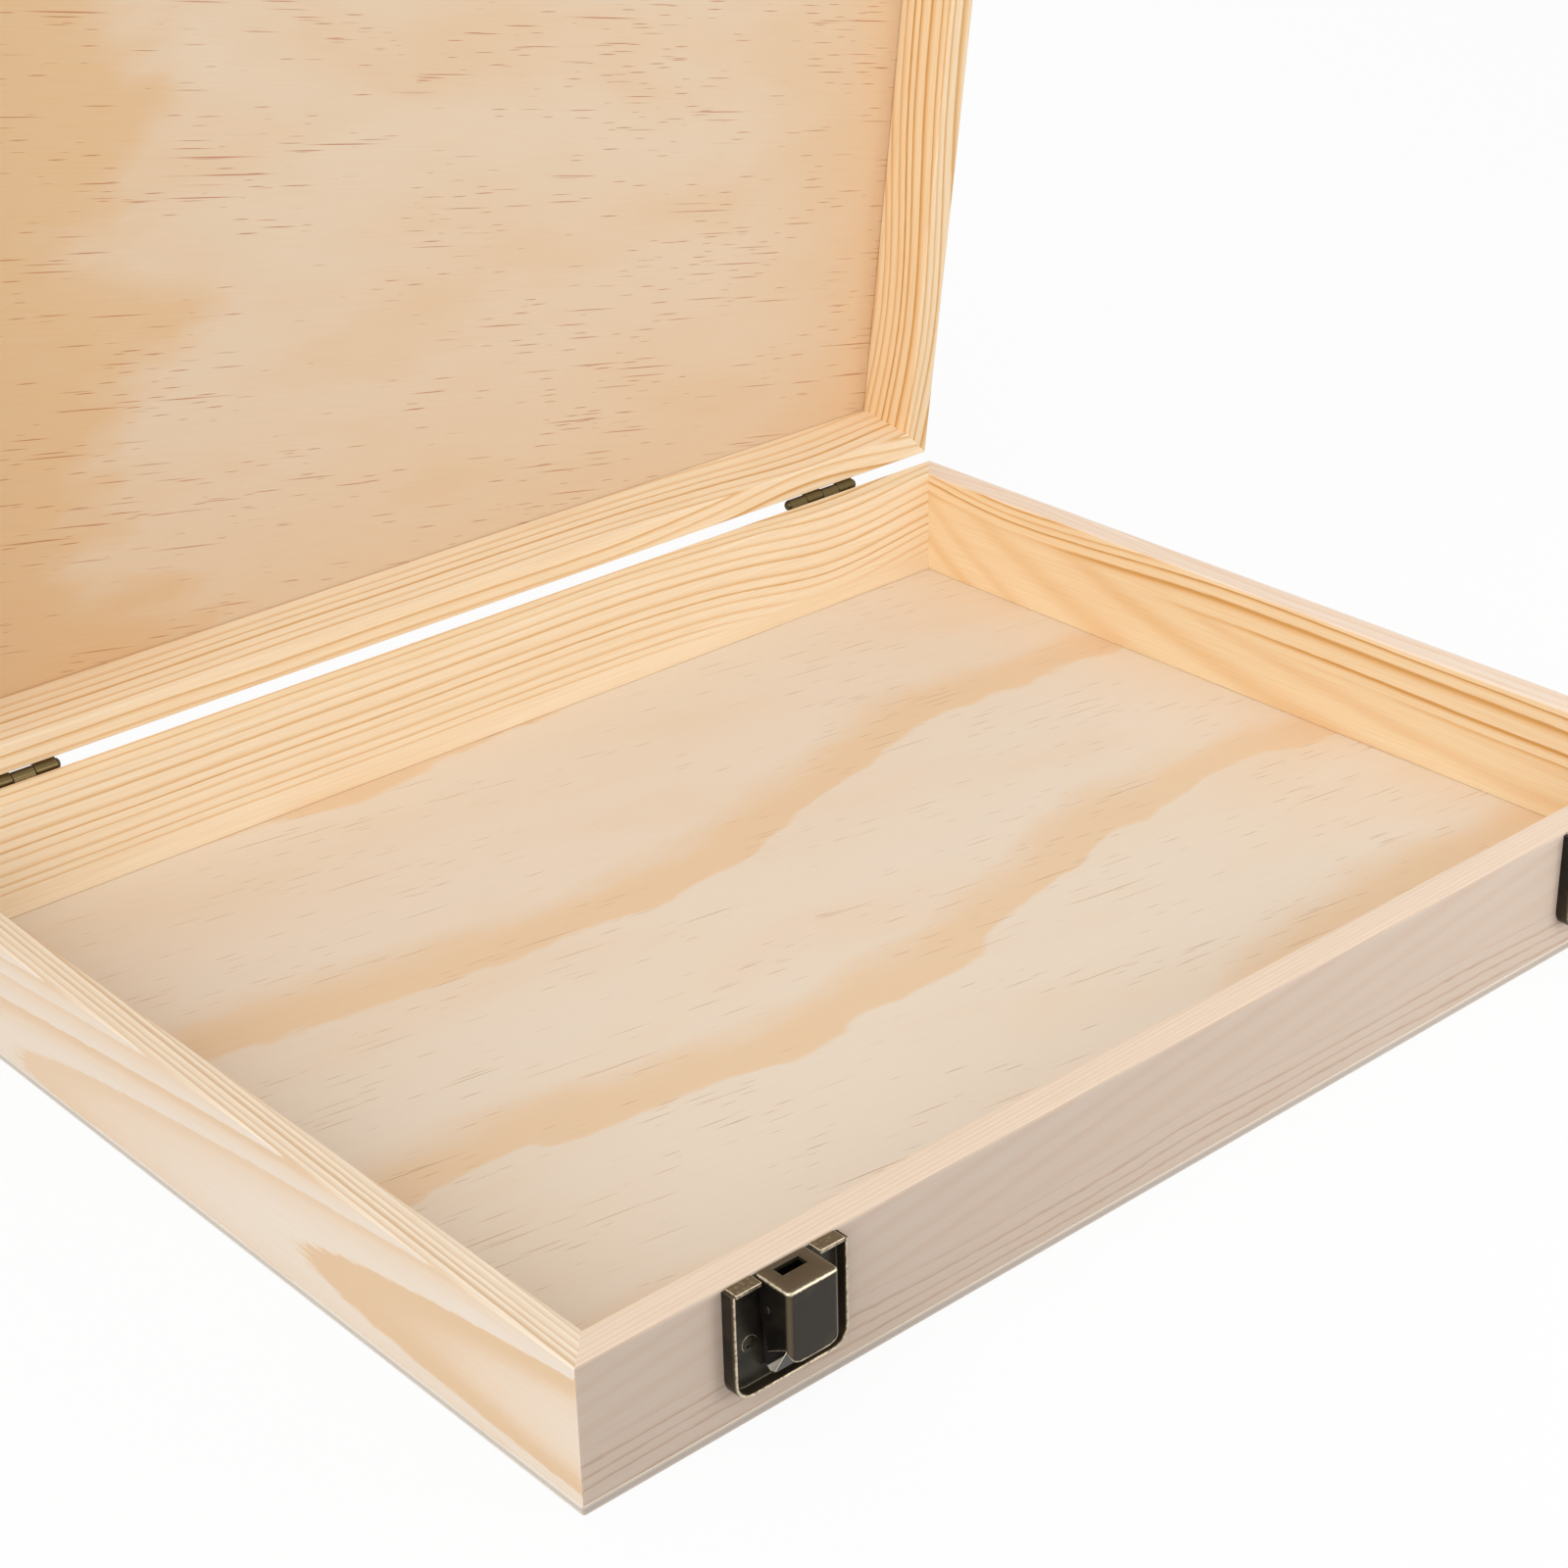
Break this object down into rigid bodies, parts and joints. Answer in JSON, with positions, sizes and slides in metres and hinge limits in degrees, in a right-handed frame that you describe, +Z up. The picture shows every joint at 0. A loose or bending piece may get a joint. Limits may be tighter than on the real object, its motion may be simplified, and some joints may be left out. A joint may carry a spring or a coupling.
{
  "type": "keepsake box",
  "caption": "Flat pine keepsake box: a mitred tray and a hinged lid with thin plywood panels, surface hinges behind and sprung press latches in front that hook the lid shut.",
  "frame": {"origin": "centre of the underside of the tray, on the surface it stands on", "axes": "+X to the right along the front, +Y to the back where the hinges are, +Z up"},
  "size_m": [0.32, 0.2802, 0.2844],
  "materials": {
    "pine": "bare sanded pine, pale cream with honey grain lines",
    "plywood": "bare sanded pine plywood, rotary-cut face with fine brown flecks",
    "antique_bronze": "antique bronze plating, dark faces with brassy rubbed edges",
    "spring_steel": "bright spring steel"
  },
  "bodies": {
    "tray": {"front_wall": "pine", "back_wall": "pine", "left_wall": "pine", "right_wall": "pine", "bottom_panel": "plywood", "left_hinge_base_leaf": "antique_bronze", "right_hinge_base_leaf": "antique_bronze", "left_hinge_pin": "antique_bronze", "right_hinge_pin": "antique_bronze", "hinge_base_screws": "antique_bronze", "left_latch_plate": "antique_bronze", "right_latch_plate": "antique_bronze", "left_latch_pin": "spring_steel", "right_latch_pin": "spring_steel", "left_latch_spring": "spring_steel", "right_latch_spring": "spring_steel", "latch_plate_screws": "antique_bronze"},
    "lid": {"lid_front_wall": "pine", "lid_back_wall": "pine", "lid_left_wall": "pine", "lid_right_wall": "pine", "lid_panel": "plywood", "left_hinge_lid_leaf": "antique_bronze", "right_hinge_lid_leaf": "antique_bronze", "hinge_lid_screws": "antique_bronze", "left_latch_catch": "antique_bronze", "right_latch_catch": "antique_bronze", "latch_catch_screws": "antique_bronze"},
    "left_lever": {"left_latch_lever": "antique_bronze"},
    "right_lever": {"right_latch_lever": "antique_bronze"}
  },
  "joints": [
    {"name": "lid_hinge", "type": "hinge", "parent": "tray", "child": "lid", "pos_m": [0, 0.12675, 0.03015], "axis": [-1, 0, 0], "range_deg": [-82, 98]},
    {"name": "left_latch_press", "type": "hinge", "parent": "tray", "child": "left_lever", "pos_m": [-0.1162, -0.128, 0.024], "axis": [1, 0, 0], "range_deg": [0, 11], "stiffness_Nm_per_rad": 0.02, "springref_deg": -28.65, "deforming": ["left_latch_spring"]},
    {"name": "right_latch_press", "type": "hinge", "parent": "tray", "child": "right_lever", "pos_m": [0.1162, -0.128, 0.024], "axis": [1, 0, 0], "range_deg": [0, 11], "stiffness_Nm_per_rad": 0.02, "springref_deg": -28.65, "deforming": ["right_latch_spring"]}
  ]
}
